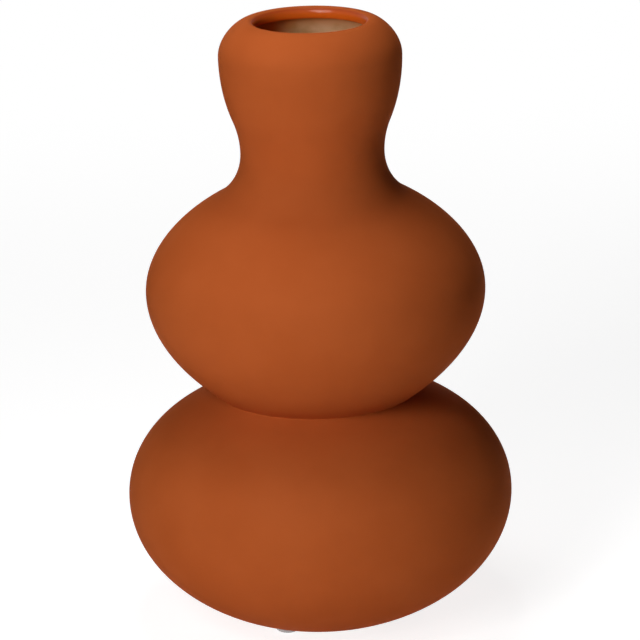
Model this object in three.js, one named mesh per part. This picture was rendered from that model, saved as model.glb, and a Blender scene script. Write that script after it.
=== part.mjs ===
// Gourd vase in slip-cast dolomite ceramic, on three stick-on bumpers.
// Millimetres. +Z is up, and the origin is on the table under the middle of the vase.
import * as THREE from "three";

// Lower lobe
const lowerRadius = 70; // at its widest ring
const lowerBelow = 48.9; // how far its curve would reach under the widest ring
const lowerAbove = 38.7; // how far its curve would reach over it
const lowerShoulderTaper = -0.22; // leanness of the shoulder, where 0 is a true ellipse and less is fuller
const footRadius = 29; // where the curve meets the flat underside

// Crease between the lower and the middle lobe
const creaseRadius = 36.3; // at its narrowest ring
const creaseLowerBlend = 200; // radius of the hollow curve that sweeps up from the lower lobe
const creaseUpperBlend = 0.8; // radius of the tight turn to the underside of the middle lobe
const creaseLean = 57; // degrees from upright, of the wall where the sweep meets the turn

// Middle lobe
const middleRadius = 61.2;
const middleBelow = 53;
const middleUndersideTaper = 0.3;
const middleAbove = 43.4;
const middleShoulderTaper = 0.12;

// Neck
const neckRadius = 25.8;
const neckLowerBlend = 19.2;
const neckUpperBlend = 32.1;

// Top lobe and rim
const topRadius = 32.7;
const topBelow = 45.8;
const topAbove = 12.8; // from the widest ring to the crest of the rim
const topShoulderTaper = 0.2;
const crestRadius = 21.9;

// Ceramic wall
const wall = 4.6;
const recessDepth = 1; // shallow hollow in the underside, so that only a ring of it is flat
const recessSlope = 2; // width of the slope around the hollow

// Bumpers
const bumperDiameter = 9.5;
const bumperHeight = 2.5;
const soleDiameter = 5; // flat of a bumper on the table
const skirtHeight = 0.3; // straight edge of a bumper, next to its adhesive
const adhesiveThickness = 0.2;
const footMargin = 0.4; // from a bumper to the edge of the foot
const recessMargin = 2; // from a bumper to the hollow
const frontBumperAngle = -123; // degrees from +X, anticlockwise seen from above

const footHeight = bumperHeight + adhesiveThickness;
const bumperRadius = bumperDiameter / 2;
const bumperCircle = footRadius - footMargin - bumperRadius;
const recessRadius = bumperCircle - bumperRadius - recessMargin;

// Flats around each turned piece, and points along the small roundings
const AROUND_VASE = 60;
const AROUND_BUMPER = 24;
const RIM_POINTS = 6;
const DOME_POINTS = 5;
const INNER_SHARE = 0.6; // points on the hidden inner face for each one on the outer face
const QUARTER_TURN = Math.PI / 2;

// Each lobe is swept by two quarters of an ellipse, under and over its widest ring. Angle 0 is that ring,
// and a quarter turn is the end at the pole radius. The taper pulls the middle of the curve inwards.
function lobe(widest, reach, taper = 0, poleRadius = 0) {
  return { swell: widest - poleRadius, reach, taper, poleRadius, height: 0 };
}

// A point of a lobe's curve, moved out by the gap along the curve's normal.
function onLobe({ swell, reach, taper, poleRadius, height }, angle, gap = 0) {
  const cos = Math.cos(angle);
  const sin = Math.sin(angle);
  const lean = 1 - taper * sin * sin;
  const slopeX = -swell * sin * (lean + 2 * taper * cos * cos);
  const slopeY = reach * cos;
  const length = Math.hypot(slopeX, slopeY);
  return new THREE.Vector2(
    poleRadius + swell * cos * lean + (gap * Math.abs(slopeY)) / length,
    height + reach * sin - (gap * Math.sign(reach) * slopeX) / length,
  );
}

// Where a falling function crosses zero, by halving.
function crossing(low, high, falling) {
  for (let i = 0; i < 60; i++) {
    const middle = (low + high) / 2;
    if (falling(middle) > 0) low = middle;
    else high = middle;
  }
  return low;
}

// The angle at which a lobe's curve, moved out by the gap, has this radius.
function angleAt(shape, radius, gap = 0) {
  return crossing(0, QUARTER_TURN, (angle) => onLobe(shape, angle, gap).x - radius);
}

const lowerUnder = lobe(lowerRadius, -lowerBelow);
const lowerOver = lobe(lowerRadius, lowerAbove, lowerShoulderTaper);
const middleUnder = lobe(middleRadius, -middleBelow, middleUndersideTaper);
const middleOver = lobe(middleRadius, middleAbove, middleShoulderTaper);
const topUnder = lobe(topRadius, -topBelow);
const topOver = lobe(topRadius, topAbove, topShoulderTaper, crestRadius);

// A stretch of the wall's face has a count of points, and a function that gives the point at a fraction of
// its length, set into the wall by the inset.
function lobeStretch(shape, from, to, points) {
  return { points, at: (fraction, inset) => onLobe(shape, from + (to - from) * fraction, -inset) };
}

// A hollow curve has its centre outside the vase, so the inner face of the wall has the larger radius.
function hollowStretch(centre, radius, start, end, points) {
  const from = start.clone().sub(centre).angle();
  const turn = end.clone().sub(centre).angle() - from;
  return {
    points,
    at: (fraction, inset) => {
      const angle = from + turn * fraction;
      return new THREE.Vector2(Math.cos(angle), Math.sin(angle)).multiplyScalar(radius + inset).add(centre);
    },
  };
}

// A waist has two hollow curves, which touch each other and the lobes under and over it. The wall leans by
// the lean where they meet, and the upper one has the narrowest ring. The lobe over it is lifted onto them.
function waist(under, over, radius, lowerBlend, upperBlend, lean, points) {
  const outwards = new THREE.Vector2(Math.cos(lean), Math.sin(lean));
  const fromUpper = outwards.clone().multiplyScalar(lowerBlend - upperBlend);
  const underEnd = angleAt(under, radius + upperBlend + fromUpper.x, lowerBlend);
  const lowerCentre = onLobe(under, underEnd, lowerBlend);
  const upperCentre = lowerCentre.clone().sub(fromUpper);
  const meeting = outwards.multiplyScalar(-upperBlend).add(upperCentre);
  const overStart = angleAt(over, radius + upperBlend, upperBlend);
  over.height = upperCentre.y - onLobe(over, overStart, upperBlend).y;
  const lower = hollowStretch(lowerCentre, lowerBlend, onLobe(under, underEnd), meeting, points);
  const upper = hollowStretch(upperCentre, upperBlend, meeting, onLobe(over, overStart), points);
  return { underEnd, overStart, stretches: [lower, upper] };
}

// The lobes stand on each other from the foot up, so each height follows from the curves under it.
const footAngle = angleAt(lowerUnder, footRadius);
lowerUnder.height = footHeight - onLobe(lowerUnder, footAngle).y;
lowerOver.height = lowerUnder.height;
const creaseTurn = THREE.MathUtils.degToRad(creaseLean);
const crease = waist(lowerOver, middleUnder, creaseRadius, creaseLowerBlend, creaseUpperBlend, creaseTurn, 4);
middleOver.height = middleUnder.height;
const neck = waist(middleOver, topUnder, neckRadius, neckLowerBlend, neckUpperBlend, 0, 4);
topOver.height = topUnder.height;

const stretches = [
  lobeStretch(lowerUnder, footAngle, 0, 9),
  lobeStretch(lowerOver, 0, crease.underEnd, 6),
  ...crease.stretches,
  lobeStretch(middleUnder, crease.overStart, 0, 7),
  lobeStretch(middleOver, 0, neck.underEnd, 7),
  ...neck.stretches,
  lobeStretch(topUnder, neck.overStart, 0, 4),
  lobeStretch(topOver, 0, QUARTER_TURN, 6),
];

// One face of the wall from the foot to the crest. Neighbouring stretches share the point where they meet.
function wallFace(inset, share) {
  const face = [stretches[0].at(0, inset)];
  for (const { points, at } of stretches) {
    const count = Math.ceil(points * share);
    for (let i = 1; i <= count; i++) face.push(at(i / count, inset));
  }
  return face;
}

// Points on an arc of an ellipse, with both ends.
function arc(centre, radiusX, radiusY, from, to, steps) {
  return Array.from({ length: steps + 1 }, (_, i) => {
    const angle = from + ((to - from) * i) / steps;
    return new THREE.Vector2(centre.x + radiusX * Math.cos(angle), centre.y + radiusY * Math.sin(angle));
  });
}

// The rim is rounded over the whole thickness of the wall. Its ends are the ends of the two faces.
const rimRadius = wall / 2;
const rimCentre = new THREE.Vector2(crestRadius, topOver.height + topAbove - rimRadius);
const rim = arc(rimCentre, rimRadius, rimRadius, QUARTER_TURN, 3 * QUARTER_TURN, RIM_POINTS).slice(1, -1);

const outerFace = wallFace(0, 1);
const innerFace = wallFace(wall, INNER_SHARE).reverse();
const recessHeight = footHeight + recessDepth;
const floorHeight = innerFace.at(-1).y;

const vaseProfile = [
  new THREE.Vector2(0, recessHeight),
  new THREE.Vector2(recessRadius - recessSlope, recessHeight),
  new THREE.Vector2(recessRadius, footHeight),
  ...outerFace,
  ...rim,
  ...innerFace,
  new THREE.Vector2(0, floorHeight),
];

// A bumper is a low dome on its sole. The adhesive fills the space between its flat back and the foot.
const soleRadius = soleDiameter / 2;
const domeHeight = bumperHeight - skirtHeight;
const domeCentre = new THREE.Vector2(soleRadius, domeHeight);
const bumperProfile = [
  new THREE.Vector2(0, 0),
  ...arc(domeCentre, bumperRadius - soleRadius, domeHeight, -QUARTER_TURN, 0, DOME_POINTS),
  new THREE.Vector2(bumperRadius, bumperHeight),
  new THREE.Vector2(0, bumperHeight),
];

const adhesiveProfile = [
  new THREE.Vector2(0, bumperHeight),
  new THREE.Vector2(bumperRadius, bumperHeight),
  new THREE.Vector2(bumperRadius, footHeight),
  new THREE.Vector2(0, footHeight),
];

const ceramic = new THREE.MeshStandardMaterial({ color: 0xb4591f, roughness: 0.62, metalness: 0 });
const clearRubber = new THREE.MeshStandardMaterial({
  color: 0xd9dbdc,
  roughness: 0.25,
  metalness: 0,
  transparent: true,
  opacity: 0.55,
});
const adhesive = new THREE.MeshStandardMaterial({ color: 0xe6e2d3, roughness: 0.5, metalness: 0 });

const vase = new THREE.Group();
vase.name = "gourd_vase";

function turned(name, profile, around, material) {
  const geometry = new THREE.LatheGeometry(profile, around).rotateX(QUARTER_TURN);
  const mesh = new THREE.Mesh(geometry, material);
  mesh.name = name;
  vase.add(mesh);
  return mesh;
}

turned("vase_body", vaseProfile, AROUND_VASE, ceramic);

["left_front", "right", "rear"].forEach((place, i, places) => {
  const angle = THREE.MathUtils.degToRad(frontBumperAngle + (360 * i) / places.length);
  const x = bumperCircle * Math.cos(angle);
  const y = bumperCircle * Math.sin(angle);
  turned(place + "_bumper", bumperProfile, AROUND_BUMPER, clearRubber).position.set(x, y, 0);
  turned(place + "_adhesive_disc", adhesiveProfile, AROUND_BUMPER, adhesive).position.set(x, y, 0);
});

export default vase;
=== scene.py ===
import math

import bpy
from mathutils import Matrix, Vector, noise


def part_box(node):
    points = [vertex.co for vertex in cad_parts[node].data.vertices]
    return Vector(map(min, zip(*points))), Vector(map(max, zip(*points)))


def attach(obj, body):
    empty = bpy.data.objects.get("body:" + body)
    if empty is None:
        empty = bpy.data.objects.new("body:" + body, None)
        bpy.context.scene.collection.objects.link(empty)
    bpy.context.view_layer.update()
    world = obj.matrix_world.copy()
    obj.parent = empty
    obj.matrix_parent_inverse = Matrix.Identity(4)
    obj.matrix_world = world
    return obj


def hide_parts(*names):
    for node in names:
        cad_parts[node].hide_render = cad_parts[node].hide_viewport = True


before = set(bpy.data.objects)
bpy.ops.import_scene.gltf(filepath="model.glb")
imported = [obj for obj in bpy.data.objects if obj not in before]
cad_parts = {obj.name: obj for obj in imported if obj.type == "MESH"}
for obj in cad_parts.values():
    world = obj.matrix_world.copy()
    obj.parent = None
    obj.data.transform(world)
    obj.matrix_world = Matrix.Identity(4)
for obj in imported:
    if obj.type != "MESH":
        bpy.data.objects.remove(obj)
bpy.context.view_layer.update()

# Lengths are in metres. Heights are above the table, and the side that the photograph shows is -Y.
MM = 0.001
QUARTER_TURN = math.pi / 2
ON_AXIS = 1e-9
body_low, body_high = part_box("vase_body")

# Outline of the vase, by the same kinds of curves as its solid. From the shoulder of the lower lobe to the
# underside of the middle one the values differ from the solid's, whose shoulder lies up to 1.7 mm lower.
LOWER_RADIUS = body_high.x
LOWER_BELOW = 48.9 * MM
LOWER_ABOVE = 43.8 * MM
LOWER_SHOULDER_TAPER = -0.09
FOOT_RADIUS = 29 * MM
FOOT_HEIGHT = body_low.z
CREASE_RADIUS = 36.28 * MM
CREASE_LOWER_BLEND = 115 * MM
CREASE_UPPER_BLEND = 0.2 * MM
CREASE_LEAN = math.radians(62)
MIDDLE_RADIUS = 61.2 * MM
MIDDLE_BELOW = 51.5 * MM
MIDDLE_UNDERSIDE_TAPER = 0.24
MIDDLE_ABOVE = 43.4 * MM
MIDDLE_SHOULDER_TAPER = 0.12
NECK_RADIUS = 25.8 * MM
NECK_LOWER_BLEND = 19.2 * MM
NECK_UPPER_BLEND = 32.1 * MM
TOP_RADIUS = 32.7 * MM
TOP_BELOW = 45.8 * MM
TOP_ABOVE = 12.8 * MM
TOP_SHOULDER_TAPER = 0.2
CREST_RADIUS = 21.9 * MM
WALL = 4.6 * MM
RECESS_RADIUS = 17.1 * MM
RECESS_DEPTH = 1 * MM
RECESS_SLOPE = 2 * MM

# Small roundings that the solid leaves sharp
FOOT_ROUNDING = 1.1 * MM
RECESS_ROUNDING = 0.6 * MM
FLOOR_ROUNDING = 7 * MM

# How far hand finishing left the casting from a true turned shape, always inwards
WAVER_DEPTH = 0.12 * MM
WAVER_LENGTH = 34 * MM
RIPPLE_DEPTH = 0.02 * MM
RIPPLE_LENGTH = 9 * MM
WAVER_FADE_AT_FOOT = 8 * MM
WAVER_FADE_AT_CREST = 6 * MM

# Bumpers
SOLE_RADIUS = 2.5 * MM
SKIRT_HEIGHT = 0.3 * MM
BUMPER_EASING = 0.12 * MM

# Where the finishes change, as distances over the surface from the crest of the rim, positive inwards
GLOSS_STARTS = 0.7 * MM
GLOSS_FULL = 1.9 * MM
LIP_INNER_STARTS = 1.5 * MM
LIP_INNER_FULL = 5.2 * MM
COAT_ENDS = 6.4 * MM
COAT_FADE = 1 * MM
COAT_EDGE_WANDER = 0.7 * MM
TINGE_WIDTH = 9 * MM
LEFT_ORANGE_FADES = 13.2 * MM
LEFT_ORANGE_ENDS = 22 * MM

# Where the inner wall turns orange on its left side, as places along X
LEFT_ORANGE_STARTS_AT = -4 * MM
LEFT_ORANGE_FULL_AT = -13 * MM
LEFT_ORANGE_WANDER = 1.5 * MM

# Where the foot was wiped bare, as distances over the surface inwards from its edge
WIPE_STARTS = 2.2 * MM
WIPE_FULL = 3.6 * MM
WIPE_WANDER = 0.8 * MM

# Fineness of the meshes
AROUND_BODY = 192
AROUND_BUMPER = 64
AROUND_FLOOR = 96
RIM_STEPS = 20
INNER_SHARE = 0.5  # points on the inner face for each one on the outer face

# Colours as they look on a screen, from 0 to 255
WHITE = (255, 255, 255)
COAT = (187, 92, 44)
COAT_DEEP = (182, 88, 41)
LIP = (168, 68, 27)
# The lip's inner colour: partly its own brighter orange, partly painted light that lifts the shade under the
# rim
LIP_INNER_ORANGE_AND_LIGHT = (244, 108, 26)
# Orange on the left of the inner wall, which also has no gloss there
LEFT_WALL_ORANGE = (222, 122, 58)
GLAZE = (238, 190, 146)
GLAZE_DEEP = (204, 150, 96)
# Glaze next to the coat's edge: tinged orange by the paint, and lightened as painted light where the rim
# shades the wall
GLAZE_EDGE_TINGE_AND_LIGHT = (236, 150, 82)
BISQUE = (226, 214, 196)
RUBBER = (236, 238, 239)
RUBBER_CLOUDED = (222, 225, 228)
ADHESIVE = (232, 228, 216)
FLOOR = (248, 248, 247)
FLOOR_CLOUDED = (246, 246, 245)
FLOOR_SHADOW = (190, 190, 190)

# How much each surface scatters, from 0, a mirror, to 1. Where there are two, it varies between them.
COAT_ROUGHNESS = (0.60, 0.68)
LIP_ROUGHNESS = (0.14, 0.22)
BISQUE_ROUGHNESS = 0.85
RUBBER_ROUGHNESS = (0.18, 0.42)
FILM_ROUGHNESS = (0.35, 0.55)

# Reflection of the matte coat, where 0.5 is a plain glaze's, and strength and softness of the lip's gloss
MATTE_SPECULAR = 0.004
LIP_SHINE = 0.2
LIP_SHINE_ROUGHNESS = 0.2


class Lobe:
    """Half of a lobe's outline, a quarter of an ellipse that runs up or down from the widest ring."""

    def __init__(self, widest, reach, taper=0.0, pole_radius=0.0):
        self.swell = widest - pole_radius
        self.reach = reach
        self.taper = taper
        self.pole_radius = pole_radius
        self.height = 0.0

    def at(self, angle, gap=0.0):
        """The point at this angle, moved out by the gap along the normal."""
        cos = math.cos(angle)
        sin = math.sin(angle)
        lean = 1 - self.taper * sin * sin
        slope_x = -self.swell * sin * (lean + 2 * self.taper * cos * cos)
        slope_y = self.reach * cos
        length = math.hypot(slope_x, slope_y)
        radius = self.pole_radius + self.swell * cos * lean + gap * abs(slope_y) / length
        height = self.height + self.reach * sin - gap * math.copysign(1, self.reach) * slope_x / length
        return Vector((radius, height))

    def angle_at(self, radius, gap=0.0):
        """The angle at which the curve, moved out by the gap, has this radius."""
        return crossing(0, QUARTER_TURN, lambda angle: self.at(angle, gap).x - radius)

    def stretch(self, start, end, steps):
        """(steps, the point at a fraction of the way, set in by an inset)."""
        return steps, lambda fraction, inset: self.at(start + (end - start) * fraction, -inset)


def crossing(low, high, falling):
    """Where a falling function crosses zero, by halving."""
    halvings = 60
    for _ in range(halvings):
        middle = (low + high) / 2
        if falling(middle) > 0:
            low = middle
        else:
            high = middle
    return low


def hollow_stretch(centre, radius, start, end, steps):
    """A hollow arc between two lobes. Its centre lies outside the vase, so an inset makes it wider."""
    start_angle = math.atan2(start.y - centre.y, start.x - centre.x) % math.tau
    turn = math.atan2(end.y - centre.y, end.x - centre.x) % math.tau - start_angle

    def at(fraction, inset):
        angle = start_angle + turn * fraction
        return centre + (radius + inset) * Vector((math.cos(angle), math.sin(angle)))

    return steps, at


def waist(under, over, radius, lower_blend, upper_blend, lean, steps):
    """Two hollow arcs that touch each other, where the wall leans by the lean, and the lobes under and over.

    Lifts the upper lobe onto them. Returns them and the angles at which they touch the two lobes.
    """
    outwards = Vector((math.cos(lean), math.sin(lean)))
    from_upper = outwards * (lower_blend - upper_blend)
    under_end = under.angle_at(radius + upper_blend + from_upper.x, lower_blend)
    lower_centre = under.at(under_end, lower_blend)
    upper_centre = lower_centre - from_upper
    meeting = upper_centre - outwards * upper_blend
    over_start = over.angle_at(radius + upper_blend, upper_blend)
    over.height = upper_centre.y - over.at(over_start, upper_blend).y
    lower = hollow_stretch(lower_centre, lower_blend, under.at(under_end), meeting, steps)
    upper = hollow_stretch(upper_centre, upper_blend, meeting, over.at(over_start), steps)
    return [lower, upper], under_end, over_start


def wall_stretches():
    """The wall from the foot to the crest, as stretches that touch each other, and the crest's height."""
    lower_under = Lobe(LOWER_RADIUS, -LOWER_BELOW)
    lower_over = Lobe(LOWER_RADIUS, LOWER_ABOVE, LOWER_SHOULDER_TAPER)
    middle_under = Lobe(MIDDLE_RADIUS, -MIDDLE_BELOW, MIDDLE_UNDERSIDE_TAPER)
    middle_over = Lobe(MIDDLE_RADIUS, MIDDLE_ABOVE, MIDDLE_SHOULDER_TAPER)
    top_under = Lobe(TOP_RADIUS, -TOP_BELOW)
    top_over = Lobe(TOP_RADIUS, TOP_ABOVE, TOP_SHOULDER_TAPER, CREST_RADIUS)

    foot_angle = lower_under.angle_at(FOOT_RADIUS)
    lower_under.height = FOOT_HEIGHT - lower_under.at(foot_angle).y
    lower_over.height = lower_under.height
    crease, lower_end, middle_start = waist(
        lower_over, middle_under, CREASE_RADIUS, CREASE_LOWER_BLEND, CREASE_UPPER_BLEND, CREASE_LEAN, steps=12
    )
    middle_over.height = middle_under.height
    neck, middle_end, top_start = waist(
        middle_over, top_under, NECK_RADIUS, NECK_LOWER_BLEND, NECK_UPPER_BLEND, lean=0, steps=12
    )
    top_over.height = top_under.height
    stretches = [
        lower_under.stretch(foot_angle, 0, steps=30),
        lower_over.stretch(0, lower_end, steps=30),
        *crease,
        middle_under.stretch(middle_start, 0, steps=26),
        middle_over.stretch(0, middle_end, steps=28),
        *neck,
        top_under.stretch(top_start, 0, steps=16),
        top_over.stretch(0, QUARTER_TURN, steps=26),
    ]
    return stretches, top_over.height + TOP_ABOVE


def wall_face(stretches, inset, share=1.0):
    """One face of the wall, from the foot to the crest."""
    face = [stretches[0][1](0, inset)]
    for steps, at in stretches:
        count = math.ceil(steps * share)
        face += [at(i / count, inset) for i in range(1, count + 1)]
    return face


def straight(start, end, steps):
    """Even points from start to end, without the start."""
    return [start.lerp(end, i / steps) for i in range(1, steps + 1)]


def rounded(before, corner, after, reach, steps=6):
    """A curve that touches both sides of a corner at this reach from it."""
    start = corner + (before - corner).normalized() * reach
    end = corner + (after - corner).normalized() * reach
    curve = []
    for i in range(steps + 1):
        t = i / steps
        curve.append(start.lerp(corner, t).lerp(corner.lerp(end, t), t))
    return curve


def past(points, corner, reach):
    """The points that lie further from the corner than the reach."""
    return [p for p in points if (p - corner).length > reach]


def body_outline():
    """The outline of the body: underside, outer face, rim, inner face and floor, with the crest's index."""
    stretches, crest_height = wall_stretches()
    outer = wall_face(stretches, 0)
    inner = wall_face(stretches, WALL, INNER_SHARE)[::-1]

    recess_height = FOOT_HEIGHT + RECESS_DEPTH
    middle = Vector((0, recess_height))
    recess_top = Vector((RECESS_RADIUS - RECESS_SLOPE, recess_height))
    recess_foot = Vector((RECESS_RADIUS, FOOT_HEIGHT))
    foot = outer[0]
    top_bend = rounded(middle, recess_top, recess_foot, RECESS_ROUNDING)
    foot_bend = rounded(recess_top, recess_foot, foot, RECESS_ROUNDING)
    edge_bend = rounded(recess_foot, foot, outer[1], FOOT_ROUNDING)
    underside = [middle, *straight(middle, top_bend[0], steps=5), *top_bend[1:]]
    underside += [*foot_bend, *straight(foot_bend[-1], edge_bend[0], steps=4), *edge_bend[1:]]
    clear_of_bend = 1.3
    outer = past(outer, foot, FOOT_ROUNDING * clear_of_bend)

    rim_centre = Vector((CREST_RADIUS, crest_height - WALL / 2))
    rim = []
    for i in range(1, RIM_STEPS):
        angle = QUARTER_TURN + math.pi * i / RIM_STEPS
        rim.append(rim_centre + WALL / 2 * Vector((math.cos(angle), math.sin(angle))))

    floor_edge = inner[-1]
    floor_middle = Vector((0, floor_edge.y))
    wall_side = past(inner, floor_edge, FLOOR_ROUNDING)
    floor_bend = rounded(wall_side[-1], floor_edge, floor_middle, FLOOR_ROUNDING, steps=8)
    floor = [*floor_bend, *straight(floor_bend[-1], floor_middle, steps=6)]
    crest = len(underside) + len(outer) - 1
    return underside + outer + rim + wall_side + floor, crest


def distances(outline, origin):
    """Each point's distance over the outline from the point with the index origin, negative before it."""
    travelled = [0.0]
    for a, b in zip(outline, outline[1:]):
        travelled.append(travelled[-1] + (b - a).length)
    return [t - travelled[origin] for t in travelled]


def wavered(point, depth):
    """A point moved towards the axis, by an amount that wanders over the surface."""
    slow = 0.5 + 0.5 * noise.noise(point / WAVER_LENGTH)
    quick = 0.5 + 0.5 * noise.noise(point / RIPPLE_LENGTH)
    inwards = Vector((point.x, point.y, 0)).normalized()
    return point - inwards * depth * (WAVER_DEPTH * slow + RIPPLE_DEPTH * quick)


def turned(name, outline, around, place=(0, 0)):
    """A piece made by turning an outline, whose ends lie on the axis, about an upright axis at this place."""
    vertices = []
    rings = []
    for radius, height in outline:
        count = around if radius > ON_AXIS else 1
        rings.append([len(vertices) + i for i in range(count)])
        for i in range(count):
            angle = math.tau * i / around
            x = place[0] + radius * math.cos(angle)
            y = place[1] + radius * math.sin(angle)
            vertices.append((x, y, height))
    faces = []
    for below, above in zip(rings, rings[1:]):
        for i in range(around):
            j = (i + 1) % around
            if len(below) == 1:
                faces.append((below[0], above[j], above[i]))
            elif len(above) == 1:
                faces.append((below[i], below[j], above[0]))
            else:
                faces.append((below[i], below[j], above[j], above[i]))
    mesh = bpy.data.meshes.new(name)
    mesh.from_pydata(vertices, [], faces)
    mesh.polygons.foreach_set("use_smooth", [True] * len(faces))
    piece = bpy.data.objects.new(name, mesh)
    bpy.context.scene.collection.objects.link(piece)
    return piece, rings


def srgb(colour):
    """A screen colour from 0 to 255 as the linear colour that a shader takes."""
    linear = []
    for value in colour:
        share = value / 255
        linear.append(share / 12.92 if share <= 0.04045 else ((share + 0.055) / 1.055) ** 2.4)
    return (*linear, 1.0)


# The sockets of a mix node for numbers and for colours
NUMBER_MIX = {"data_type": "FLOAT", "a": 2, "b": 3, "result": 0}
COLOUR_MIX = {"data_type": "RGBA", "a": 6, "b": 7, "result": 2}


class Shader:
    """A material's node tree, with short ways to add to it."""

    def __init__(self, name):
        self.material = bpy.data.materials.new(name)
        self.material.use_nodes = True
        self.tree = self.material.node_tree
        self.tree.nodes.clear()
        self.place = self.add("TexCoord").outputs["Object"]

    def add(self, kind, inputs=None, **settings):
        """Adds a node. The inputs are plain values or the sockets that feed them."""
        made = self.tree.nodes.new("ShaderNode" + kind)
        for name, value in settings.items():
            setattr(made, name, value)
        for name, value in (inputs or {}).items():
            if isinstance(value, bpy.types.NodeSocket):
                self.tree.links.new(value, made.inputs[name])
            else:
                made.inputs[name].default_value = value
        return made

    def noise(self, length, detail=2.0, roughness=0.5):
        """Noise from 0 to 1, whose blots are about this long."""
        inputs = {"Vector": self.place, "Scale": 1 / length, "Detail": detail, "Roughness": roughness}
        return self.add("TexNoise", inputs).outputs["Fac"]

    def maths(self, operation, a, b):
        """One sum or product of two values."""
        return self.add("Math", {0: a, 1: b}, operation=operation).outputs[0]

    def ramp(self, value, low, high, start=0.0, end=1.0):
        """A smooth step from start to end, as the value goes from low to high."""
        inputs = {"Value": value, "From Min": low, "From Max": high, "To Min": start, "To Max": end}
        return self.add("MapRange", inputs, interpolation_type="SMOOTHSTEP").outputs["Result"]

    def wander(self, value, length, reach):
        """A value that strays by up to the reach either way, in swings about this long."""
        return self.maths("ADD", value, self.ramp(self.noise(length), 0.2, 0.8, -reach, reach))

    def mix(self, share, a, b, kind=COLOUR_MIX):
        """From a to b by the share, as a colour or a number."""
        inputs = {0: share, kind["a"]: a, kind["b"]: b}
        return self.add("Mix", inputs, data_type=kind["data_type"]).outputs[kind["result"]]

    def bump(self, height, distance, strength=1.0, under=None):
        """A surface raised by height, from 0 to 1, times the distance, over another bump."""
        inputs = {"Height": height, "Distance": distance, "Strength": strength}
        if under:
            inputs["Normal"] = under
        return self.add("Bump", inputs).outputs["Normal"]

    def finish(self, surface):
        """Gives the material this surface."""
        output = self.add("OutputMaterial")
        self.tree.links.new(surface, output.inputs["Surface"])
        return self.material


def ceramic_material(foot_distance):
    """Matte burnt-orange coat outside, glossy over the rim, tan glaze inside and bare bisque underneath."""
    s = Shader("coated_ceramic")
    along = s.add("Attribute", attribute_name="along").outputs["Fac"]
    blots = s.noise(26 * MM, detail=3)
    grain = s.noise(0.55 * MM, detail=2)
    specks = s.noise(2.2 * MM, detail=4, roughness=0.6)
    streaks = s.noise(12 * MM, detail=4)

    gloss = s.ramp(along, GLOSS_STARTS, GLOSS_FULL)
    edge = s.wander(along, 9 * MM, COAT_EDGE_WANDER)
    inside = s.ramp(edge, COAT_ENDS - COAT_FADE, COAT_ENDS + COAT_FADE)
    across = s.add("SeparateXYZ", {0: s.place}).outputs["X"]
    # Orange on the left of the inner wall, fading out with depth
    left_orange = s.ramp(s.wander(across, 8 * MM, LEFT_ORANGE_WANDER), LEFT_ORANGE_STARTS_AT, LEFT_ORANGE_FULL_AT)
    left_orange = s.maths("MULTIPLY", left_orange, s.ramp(along, LEFT_ORANGE_ENDS, LEFT_ORANGE_FADES))
    wipe = s.wander(along, 5 * MM, WIPE_WANDER)
    bare = s.ramp(wipe, foot_distance - WIPE_STARTS, foot_distance - WIPE_FULL)

    coat = s.mix(s.ramp(blots, 0.3, 0.7), srgb(COAT), srgb(COAT_DEEP))
    coat = s.mix(s.ramp(specks, 0.62, 0.8, 0, 0.35), coat, srgb(COAT_DEEP))
    # The lip turns lighter inwards: partly its own colour, partly painted light on the shaded underside of
    # the rim
    lip = s.mix(s.ramp(along, LIP_INNER_STARTS, LIP_INNER_FULL), srgb(LIP), srgb(LIP_INNER_ORANGE_AND_LIGHT))
    coat = s.mix(gloss, coat, lip)
    glaze = s.mix(s.ramp(streaks, 0.35, 0.7), srgb(GLAZE), srgb(GLAZE_DEEP))
    # Below the coat's edge the glaze is tinged orange by the paint, and lightened as painted light where the
    # rim shades it
    glaze = s.mix(s.ramp(edge, COAT_ENDS, COAT_ENDS + TINGE_WIDTH), srgb(GLAZE_EDGE_TINGE_AND_LIGHT), glaze)
    glaze = s.mix(left_orange, glaze, srgb(LEFT_WALL_ORANGE))
    chalk = s.mix(s.ramp(specks, 0.35, 0.75), srgb(BISQUE), srgb(GLAZE))
    colour = s.mix(bare, s.mix(inside, coat, glaze), chalk)

    shine = s.maths("MULTIPLY", gloss, LIP_SHINE)
    shine = s.mix(left_orange, shine, 0.0, NUMBER_MIX)
    shine = s.mix(bare, shine, 0.0, NUMBER_MIX)
    matte = s.ramp(blots, 0.3, 0.7, *COAT_ROUGHNESS)
    roughness = s.mix(gloss, matte, s.ramp(streaks, 0.3, 0.7, *LIP_ROUGHNESS), NUMBER_MIX)
    roughness = s.mix(bare, roughness, BISQUE_ROUGHNESS, NUMBER_MIX)

    tooth = s.mix(gloss, grain, 0.5, NUMBER_MIX)
    swells = s.bump(s.noise(4 * MM, detail=1), 0.03 * MM)
    surface = s.add("BsdfPrincipled", {
        "Base Color": colour,
        "Roughness": roughness,
        "Normal": s.bump(tooth, 0.02 * MM, under=swells),
        "Specular IOR Level": MATTE_SPECULAR,
        "Coat Weight": shine,
        "Coat Roughness": LIP_SHINE_ROUGHNESS,
    })
    return s.finish(surface.outputs[0])


def rubber_material():
    """Clear polyurethane. Its clouds and dust make it look milky under the shaded foot."""
    s = Shader("clear_polyurethane")
    cloud = s.noise(2.5 * MM, detail=3)
    colour = s.mix(s.ramp(cloud, 0.3, 0.7), srgb(RUBBER), srgb(RUBBER_CLOUDED))
    dust = s.noise(0.4 * MM, detail=3)
    surface = s.add("BsdfPrincipled", {
        "Base Color": colour,
        "Roughness": s.ramp(dust, 0.4, 0.8, *RUBBER_ROUGHNESS),
        "Normal": s.bump(dust, 0.01 * MM),
        "IOR": 1.49,
        "Transmission Weight": 0.1,
    })
    return s.finish(surface.outputs[0])


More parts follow.
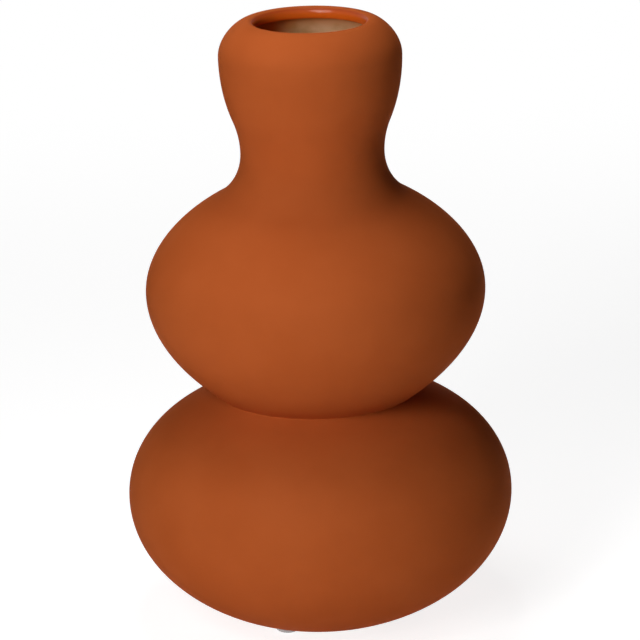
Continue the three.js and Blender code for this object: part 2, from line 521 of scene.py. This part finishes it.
def adhesive_material():
    """Milky acrylic film, with the small bubbles that pressing it on leaves."""
    s = Shader("acrylic_film")
    bubbles = s.noise(0.7 * MM, detail=2)
    colour = s.mix(s.ramp(bubbles, 0.55, 0.7), srgb(ADHESIVE), srgb(BISQUE))
    surface = s.add("BsdfPrincipled", {
        "Base Color": colour,
        "Roughness": s.ramp(bubbles, 0.4, 0.7, *FILM_ROUGHNESS),
        "Normal": s.bump(bubbles, 0.02 * MM),
        "IOR": 1.47,
        "Transmission Weight": 0.35,
    })
    return s.finish(surface.outputs[0])


def give(piece, material, node):
    """Puts a piece in the place of a node, with its material and slot."""
    piece.data.materials.append(material)
    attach(piece, "root")
    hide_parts(node)


def make_body():
    """The casting with its finishes, wavered outside between the foot and the rim."""
    outline, crest = body_outline()
    piece, rings = turned("coated_vase_body", outline, AROUND_BODY)
    along = distances(outline, crest)
    foot_distance = along[min(range(crest), key=lambda i: abs(outline[i].x - FOOT_RADIUS) + outline[i].y)]
    values = piece.data.attributes.new("along", "FLOAT", "POINT")
    for ring, distance in zip(rings, along):
        for index in ring:
            values.data[index].value = distance
        above_foot = min(1.0, (distance - foot_distance) / WAVER_FADE_AT_FOOT)
        below_crest = min(1.0, -distance / WAVER_FADE_AT_CREST)
        if above_foot > 0 and below_crest > 0:
            for index in ring:
                vertex = piece.data.vertices[index]
                vertex.co = wavered(vertex.co, above_foot * below_crest)
    give(piece, ceramic_material(foot_distance), "vase_body")


def bumper_outline(low, high):
    """A low dome on a flat sole, with its edges eased."""
    radius = (high.x - low.x) / 2
    rise = high.z - SKIRT_HEIGHT
    bottom = Vector((0, 0))
    top = Vector((0, high.z))
    outline = [bottom, *straight(bottom, Vector((SOLE_RADIUS, 0)), steps=4)]
    steps = 16
    for i in range(1, steps + 1):
        angle = QUARTER_TURN * i / steps
        reach = SOLE_RADIUS + (radius - SOLE_RADIUS) * math.sin(angle)
        outline.append(Vector((reach, rise - rise * math.cos(angle))))
    outline += rounded(outline[-1], Vector((radius, high.z)), top, BUMPER_EASING, steps=4)
    return [*outline, *straight(outline[-1], top, steps=4)]


def disc_outline(low, high):
    """A thin disc of film, with a round squeezed edge."""
    radius = (high.x - low.x) / 2
    half = (high.z - low.z) / 2
    bottom = Vector((0, low.z))
    edge_centre = Vector((radius - half, low.z + half))
    outline = [bottom, *straight(bottom, Vector((edge_centre.x, low.z)), steps=5)]
    steps = 8
    for i in range(1, steps + 1):
        angle = -QUARTER_TURN + math.pi * i / steps
        outline.append(edge_centre + half * Vector((math.cos(angle), math.sin(angle))))
    return [*outline, *straight(outline[-1], Vector((0, high.z)), steps=5)]


def make_bumpers():
    """Each bumper and its film, in the places that their nodes have."""
    rubber = rubber_material()
    film = adhesive_material()
    for place in ("left_front", "right", "rear"):
        low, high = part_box(place + "_bumper")
        middle = (low + high) / 2
        bumper, _ = turned(place + "_clear_bumper", bumper_outline(low, high), AROUND_BUMPER, middle.xy)
        give(bumper, rubber, place + "_bumper")
        low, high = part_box(place + "_adhesive_disc")
        disc, _ = turned(place + "_adhesive_film", disc_outline(low, high), AROUND_BUMPER, middle.xy)
        give(disc, film, place + "_adhesive_disc")


def make_camera():
    """The photograph's view, from the front and a little above."""
    distance = 1372.5 * MM
    elevation = math.radians(17.2)
    roll = math.radians(1.36)
    target_height = 111.9 * MM
    pixel = 0.36119 * MM  # at the target
    side_pixels = 640
    axis_offset = -3.62  # pixels from the middle of the picture to the vase's axis
    sensor_width = 36

    ahead = Vector((0, math.cos(elevation), -math.sin(elevation)))
    right = Vector((1, 0, 0))
    up = right.cross(ahead)
    turned_right = right * math.cos(roll) - up * math.sin(roll)
    turned_up = right * math.sin(roll) + up * math.cos(roll)
    camera = bpy.data.objects.new("camera", bpy.data.cameras.new("camera"))
    camera.matrix_world = Matrix.Translation(Vector((0, 0, target_height)) - ahead * distance) @ Matrix(
        (turned_right, turned_up, -ahead)
    ).transposed().to_4x4()
    camera.data.sensor_width = sensor_width
    camera.data.lens = sensor_width * distance / (side_pixels * pixel)
    camera.data.shift_x = -axis_offset / side_pixels
    camera.data.clip_end = 100
    bpy.context.scene.collection.objects.link(camera)
    bpy.context.scene.camera = camera


def seen_directly(tree):
    """1 for rays that show the backdrop as it looks, and 0 for those that carry light to the object."""
    rays = tree.nodes.new("ShaderNodeLightPath").outputs
    total = rays["Is Camera Ray"]
    for kind in ("Is Glossy Ray", "Is Transmission Ray"):
        adder = tree.nodes.new("ShaderNodeMath")
        adder.operation = "MAXIMUM"
        tree.links.new(total, adder.inputs[0])
        tree.links.new(rays[kind], adder.inputs[1])
        total = adder.outputs[0]
    return total


def make_world():
    """White where it is seen, and no light elsewhere."""
    world = bpy.data.worlds.new("studio")
    bpy.context.scene.world = world
    world.use_nodes = True
    tree = world.node_tree
    tree.nodes.clear()
    background = tree.nodes.new("ShaderNodeBackground")
    tree.links.new(seen_directly(tree), background.inputs["Strength"])
    background.inputs["Color"].default_value = (1, 1, 1, 1)
    output = tree.nodes.new("ShaderNodeOutputWorld")
    tree.links.new(background.outputs[0], output.inputs["Surface"])


def floor_material():
    """Pale matte floor.

    Where it is seen it is nearly white, keeps the shadow and fades into the white around it. The object gets
    the light of a plain pale floor that glows a little, as a lit table would. From below it is clear.
    """
    bounced_glow = 0.13
    shown_glow = 0.83
    fade_starts = 0.25
    fade_ends = 0.9

    s = Shader("pale_floor")

    def glow(strength):
        return s.add("Emission", {"Color": srgb(WHITE), "Strength": strength}).outputs[0]

    def matte(colour):
        return s.add("BsdfDiffuse", {"Color": colour}).outputs[0]

    def both(a, b):
        return s.add("AddShader", {0: a, 1: b}).outputs[0]

    def either(share, a, b):
        return s.add("MixShader", {0: share, 1: a, 2: b}).outputs[0]

    clouds = s.ramp(s.noise(40 * MM, detail=2), 0.3, 0.7)
    plain = both(matte(s.mix(clouds, srgb(FLOOR), srgb(FLOOR_CLOUDED))), glow(bounced_glow))
    distance = s.add("VectorMath", {0: s.place}, operation="LENGTH").outputs["Value"]
    shown = both(matte(srgb(FLOOR_SHADOW)), glow(shown_glow))
    shown = either(s.ramp(distance, fade_starts, fade_ends), shown, glow(1.0))
    below = s.add("NewGeometry").outputs["Backfacing"]
    clear = s.add("BsdfTransparent").outputs[0]
    return s.finish(either(below, either(seen_directly(s.tree), plain, shown), clear))


def make_floor():
    """A round floor just under the soles."""
    drop = 0.03 * MM
    radius = 2.5
    middle = Vector((0, -drop))
    outline = [middle, *straight(middle, Vector((radius, -drop)), steps=6)]
    floor, _ = turned("floor", outline, AROUND_FLOOR)
    floor.data.flip_normals()
    floor.data.materials.append(floor_material())


def make_lamp(name, azimuth, elevation, distance, size, power, lights=True, reflects=True):
    """A square soft box that faces the middle of the vase, and lights it, shows in reflections, or both.

    Azimuth 0 is the camera's side, and 90 is the right.
    """
    middle = Vector((0, 0, 112 * MM))
    a = math.radians(azimuth)
    e = math.radians(elevation)
    lamp = bpy.data.objects.new(name, bpy.data.lights.new(name, "AREA"))
    back = Vector((math.sin(a) * math.cos(e), -math.cos(a) * math.cos(e), math.sin(e)))
    lamp.location = middle + back * distance
    lamp.rotation_euler = (-back).to_track_quat("-Z", "Y").to_euler()
    lamp.data.size = size
    lamp.data.energy = power
    lamp.visible_camera = False
    lamp.visible_diffuse = lights
    lamp.visible_glossy = reflects
    bpy.context.scene.collection.objects.link(lamp)


def make_studio():
    """Soft light from the left front, a weak one from above and behind, and a highlight for the lip."""
    bpy.context.scene.view_settings.view_transform = "Standard"
    make_world()
    make_floor()
    make_lamp("key", azimuth=-25, elevation=20, distance=1.3, size=0.4, power=5.6)
    make_lamp("near", azimuth=-25, elevation=30, distance=0.5, size=0.1, power=0.55)
    make_lamp("overhead", azimuth=-90, elevation=86, distance=0.4, size=0.15, power=0.55, reflects=False)
    make_lamp("rear", azimuth=180, elevation=4, distance=1.3, size=0.4, power=3.5, reflects=False)
    make_lamp("highlight", azimuth=-28, elevation=40, distance=1.3, size=0.8, power=29, lights=False)


make_camera()
make_body()
make_bumpers()
make_studio()
